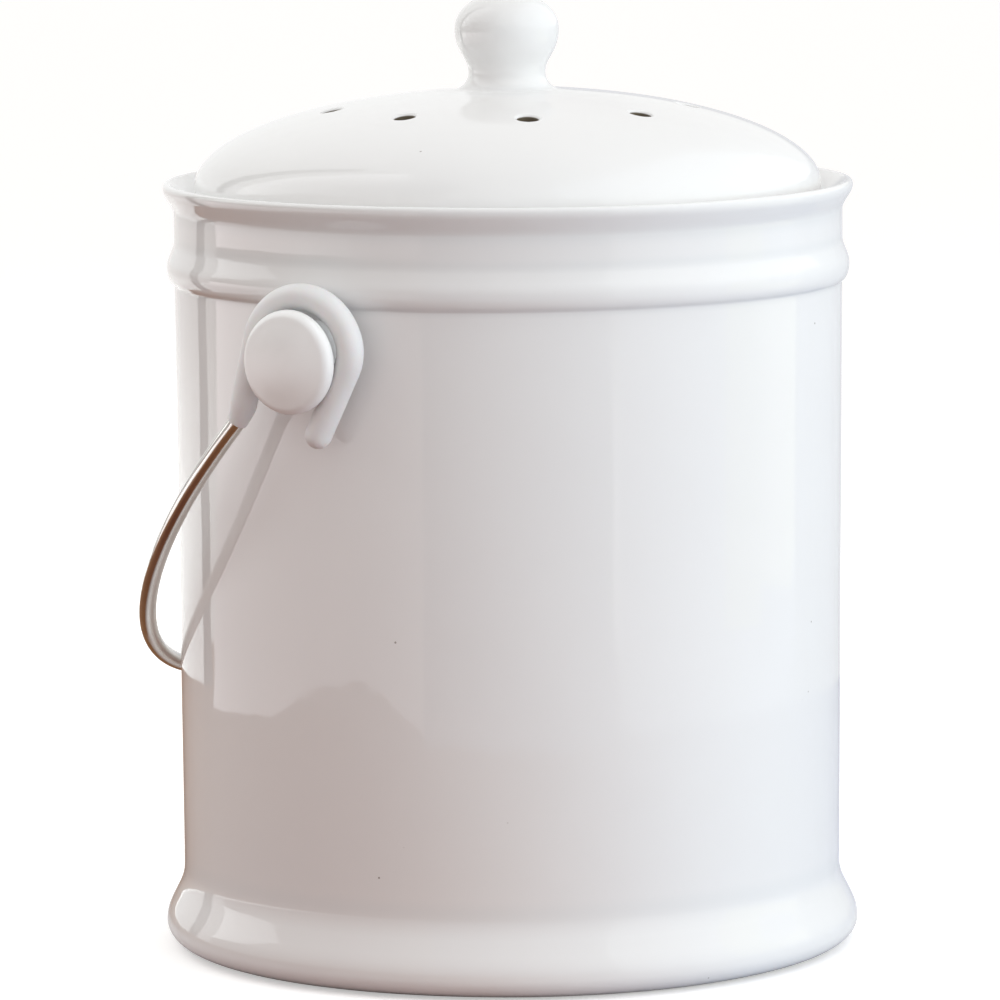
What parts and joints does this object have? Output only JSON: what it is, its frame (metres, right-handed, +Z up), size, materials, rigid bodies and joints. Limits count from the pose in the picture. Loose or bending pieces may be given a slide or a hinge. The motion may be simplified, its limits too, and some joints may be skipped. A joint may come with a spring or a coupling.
{
  "type": "compost caddy",
  "caption": "Footed ceramic kitchen compost crock with a vented lift-off domed lid, a charcoal filter tray under it and a swinging wire bail on button studs.",
  "frame": {"origin": "centre of the foot, on the ground", "axes": "+Z up along the crock's axis; +X along the line through both studs, which is the bail's hinge line; the bail hangs on the +Y side"},
  "size_m": [0.209, 0.1842, 0.2517],
  "materials": {
    "glaze": "glossy white glaze",
    "button": "satin white",
    "tray_plastic": "moulded, fine matt",
    "charcoal": "open carbon foam felt",
    "wire": "polished stainless steel wire",
    "sleeve": "soft white plastic sleeve"
  },
  "bodies": {
    "crock_body": {"crock": "glaze", "stud_left": "button", "stud_right": "button"},
    "lid_body": {"lid": "glaze", "lid_knob": "glaze"},
    "tray_body": {"filter_tray": "tray_plastic", "filter_pad": "charcoal"},
    "bail_body": {"bail_wire": "wire", "sleeve_left": "sleeve", "sleeve_right": "sleeve"}
  },
  "joints": [
    {"name": "bail_swing", "type": "hinge", "parent": "crock_body", "child": "bail_body", "pos_m": [0, 0, 0.1635], "axis": [1, 0, 0], "range_deg": [0, 274]},
    {"name": "lid_lift", "type": "slide", "parent": "crock_body", "child": "lid_body", "axis": [0, 0, 1], "range_m": [0, 0.06]},
    {"name": "tray_pull", "type": "slide", "parent": "lid_body", "child": "tray_body", "axis": [0, 0, -1], "range_m": [0, 0.04]}
  ]
}
